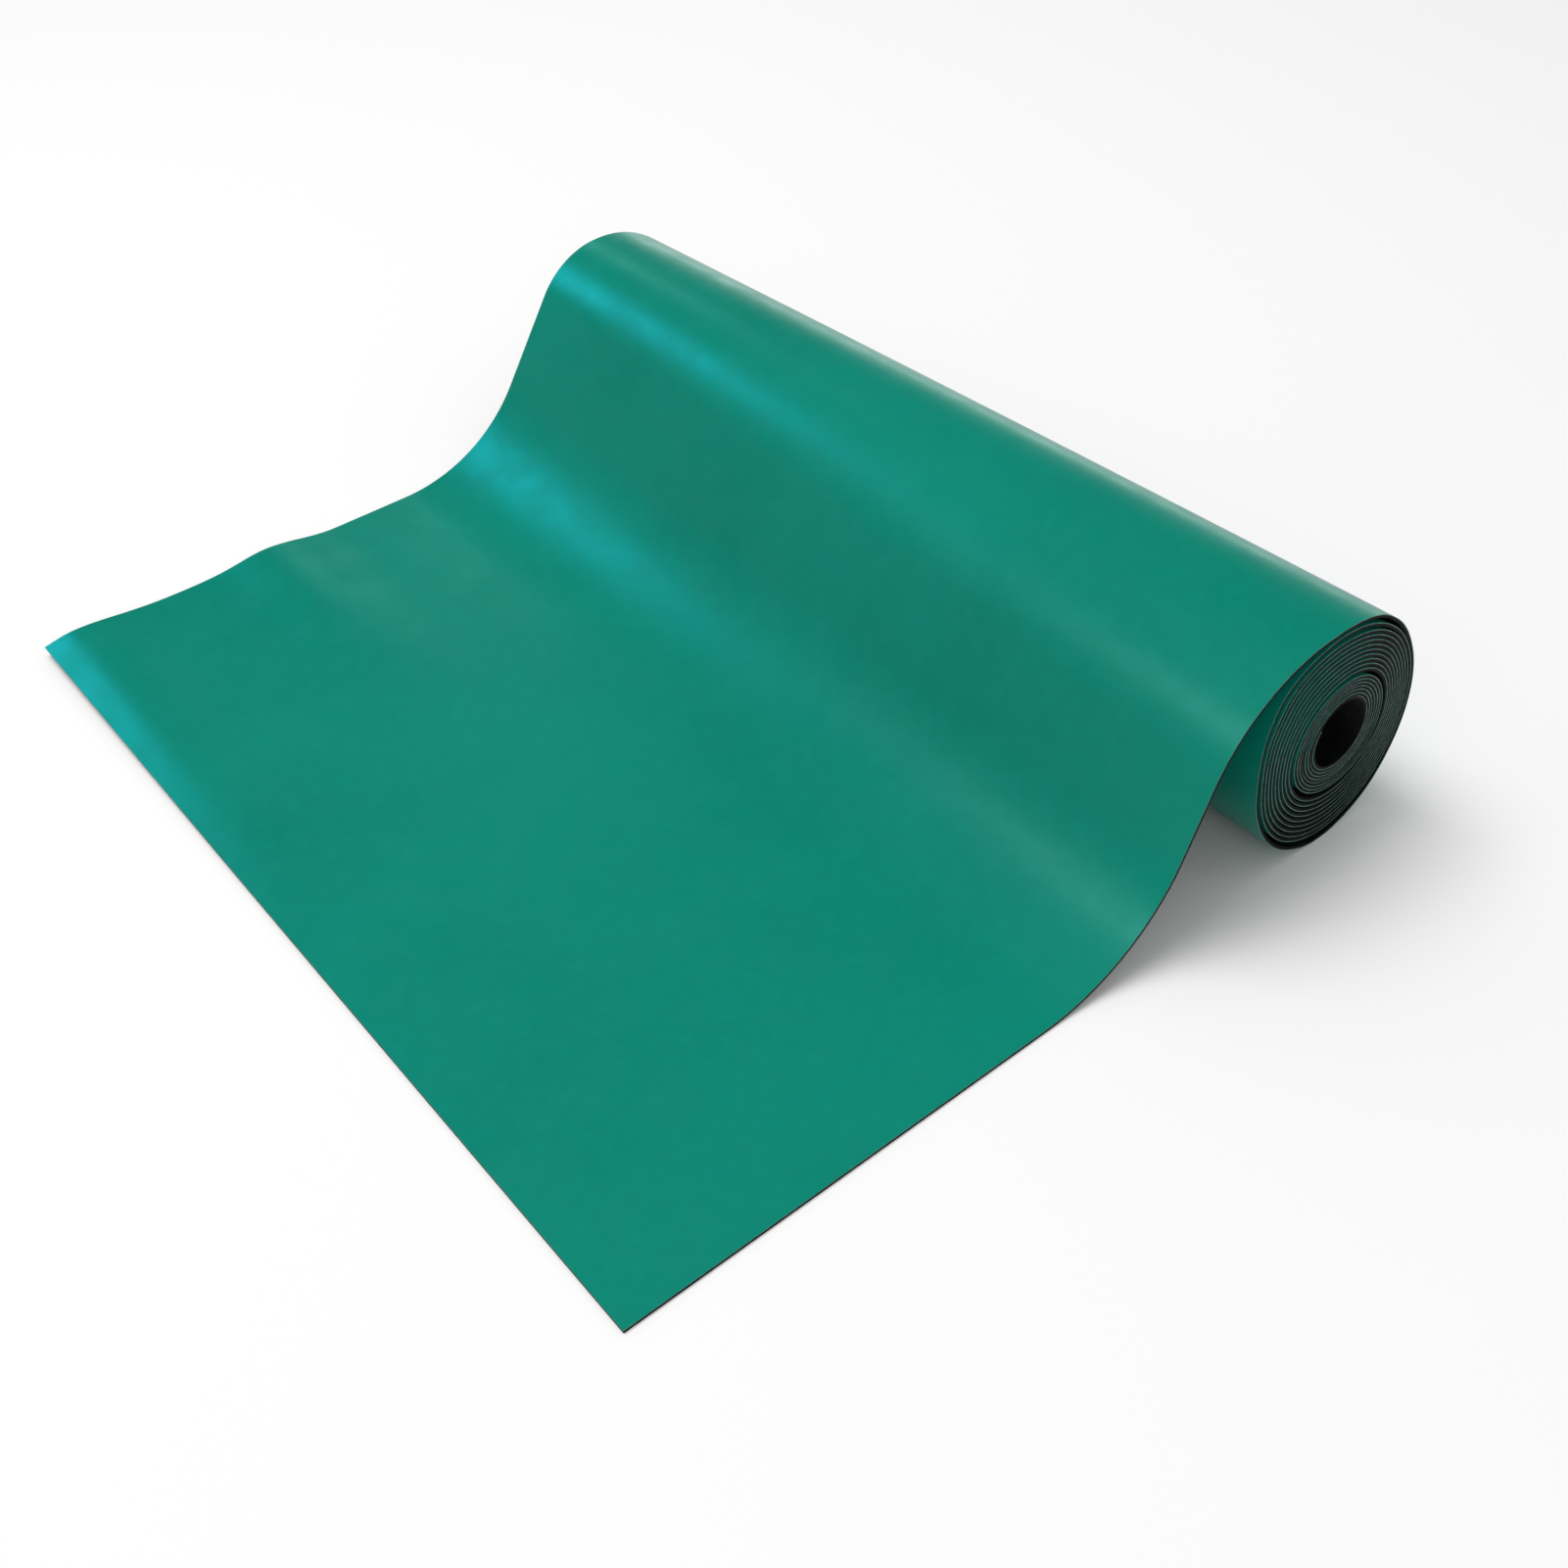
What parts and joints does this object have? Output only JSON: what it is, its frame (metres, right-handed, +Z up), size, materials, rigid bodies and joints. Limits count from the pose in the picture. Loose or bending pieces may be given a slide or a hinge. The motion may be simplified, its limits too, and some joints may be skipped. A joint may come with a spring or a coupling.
{
  "type": "roll of sheet",
  "caption": "Roll of green-faced, black-backed sheet lying on a bench, wound face outwards with no core, its free end drawn off the top and laid flat in front",
  "frame": {"origin": "centre of the part's box at bench level, under the sheet", "axes": "+X runs along the roll, +Y points from the laid free end towards the roll, +Z is up from the bench"},
  "size_m": [0.6, 0.4812, 0.133],
  "materials": {
    "green_face": "satin deep green rubber-like vinyl with a fine even grain and soft pale sheen",
    "black_backing": "matt black foamed backing, dark grey where it is cut"
  },
  "bodies": {
    "roll": {"inner_turns_face": "green_face", "inner_turns_backing": "black_backing", "outer_turns_face": "green_face", "outer_turns_backing": "black_backing", "run_face": "green_face", "run_backing": "black_backing", "payout_face": "green_face", "payout_backing": "black_backing"},
    "coil": {"coil_face": "green_face", "coil_backing": "black_backing"},
    "strip_1": {"strip_1_face": "green_face", "strip_1_backing": "black_backing"},
    "strip_2": {"strip_2_face": "green_face", "strip_2_backing": "black_backing"},
    "strip_3": {"strip_3_face": "green_face", "strip_3_backing": "black_backing"},
    "strip_4": {"strip_4_face": "green_face", "strip_4_backing": "black_backing"},
    "strip_5": {"strip_5_face": "green_face", "strip_5_backing": "black_backing"},
    "strip_6": {"strip_6_face": "green_face", "strip_6_backing": "black_backing"}
  },
  "joints": [
    {"name": "coil_turn", "type": "hinge", "parent": "roll", "child": "coil", "pos_m": [0, 0.1827, 0.0667], "axis": [1, 0, 0], "range_deg": [0, 60]},
    {"name": "pay_out", "type": "slide", "parent": "roll", "child": "strip_1", "axis": [0, -1, 0], "range_m": [0, 0.0332], "deforming": ["payout_face", "payout_backing"]},
    {"name": "flex_1", "type": "hinge", "parent": "strip_1", "child": "strip_2", "pos_m": [0, -0.0911, 0.0015], "axis": [-1, 0, 0], "range_deg": [0, 18]},
    {"name": "flex_2", "type": "hinge", "parent": "strip_2", "child": "strip_3", "pos_m": [0, -0.1211, 0.0015], "axis": [-1, 0, 0], "range_deg": [0, 18]},
    {"name": "flex_3", "type": "hinge", "parent": "strip_3", "child": "strip_4", "pos_m": [0, -0.1511, 0.0015], "axis": [-1, 0, 0], "range_deg": [0, 18]},
    {"name": "flex_4", "type": "hinge", "parent": "strip_4", "child": "strip_5", "pos_m": [0, -0.1811, 0.0015], "axis": [-1, 0, 0], "range_deg": [0, 18]},
    {"name": "flex_5", "type": "hinge", "parent": "strip_5", "child": "strip_6", "pos_m": [0, -0.2111, 0.0015], "axis": [-1, 0, 0], "range_deg": [0, 18]}
  ],
  "couplings": [
    {"joint": "pay_out", "follows": "coil_turn", "m_per_rad": 0.0316},
    {"joint": "flex_2", "follows": "flex_1", "ratio": 1},
    {"joint": "flex_3", "follows": "flex_1", "ratio": 1},
    {"joint": "flex_4", "follows": "flex_1", "ratio": 1},
    {"joint": "flex_5", "follows": "flex_1", "ratio": 1}
  ]
}
